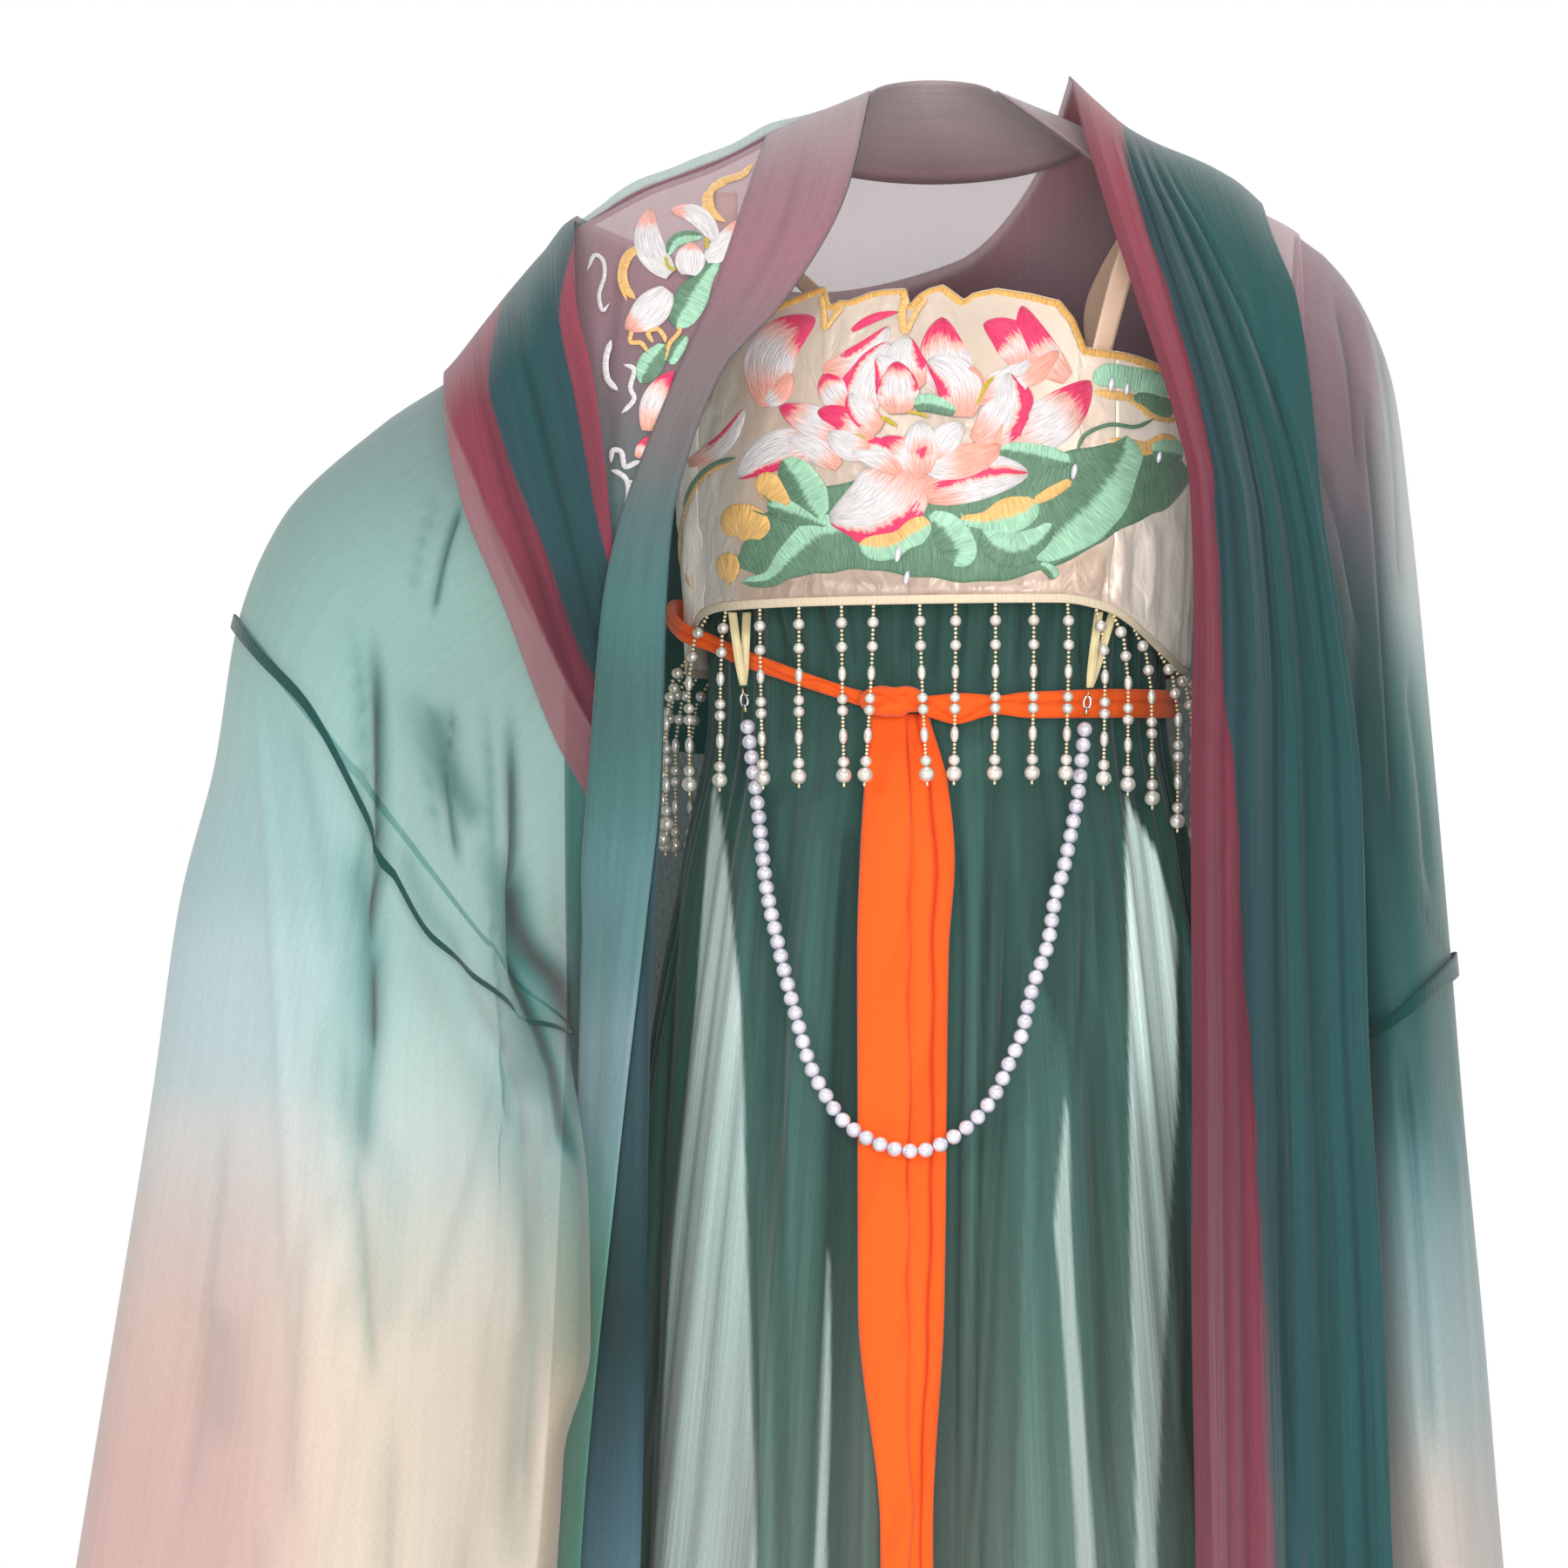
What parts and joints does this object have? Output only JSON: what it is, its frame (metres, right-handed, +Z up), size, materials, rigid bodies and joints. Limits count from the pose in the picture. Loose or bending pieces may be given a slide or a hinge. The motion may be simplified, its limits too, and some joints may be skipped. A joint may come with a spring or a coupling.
{
  "type": "hanfu robe",
  "caption": "Worn hanfu set: embroidered satin bodice with bead fringe, gathered skirt, tied sash, pearl swag, sheer wide-sleeved robe and long two-colour shawl.",
  "frame": {"origin": "middle of the base of the neck, where the wearer's shoulders hold the set", "axes": "+X towards the wearer's left, -Y the front, +Z up"},
  "size_m": [0.8912, 0.6044, 1.5215],
  "materials": {
    "satin": "glossy satin",
    "beads": "pearl and gold",
    "pearls": "pearl",
    "metal": "polished",
    "ribbon": "satin",
    "chiffon": "matt",
    "sash": "matt",
    "organza": "sheer",
    "band": "sheer, doubled",
    "binding": "matt",
    "shawl": "matt"
  },
  "bodies": {
    "root": {"bodice_front": "satin", "bodice_back": "satin", "strap_right": "satin", "strap_left": "satin", "bead_fringe": "beads", "pearl_chain": "pearls", "clasp_right": "metal", "clasp_left": "metal", "ribbon_right": "ribbon", "ribbon_left": "ribbon", "skirt_front": "chiffon", "skirt_back": "chiffon", "skirt_waistband": "chiffon", "sash_belt_right": "sash", "sash_belt_left": "sash", "sash_belt_back": "sash", "sash_knot": "sash", "sash_tail_right": "sash", "sash_tail_left": "sash", "robe_back": "organza", "robe_front_right": "organza", "robe_front_left": "organza", "collar_band_right": "band", "collar_band_left": "band", "collar_band_neck": "band", "sleeve_right_upper": "organza", "sleeve_right_lower": "organza", "sleeve_right_binding": "binding", "sleeve_left_upper": "organza", "sleeve_left_lower": "organza", "sleeve_left_binding": "binding", "shawl_left": "shawl", "shawl_right": "shawl", "shawl_back": "shawl"}
  },
  "joints": []
}
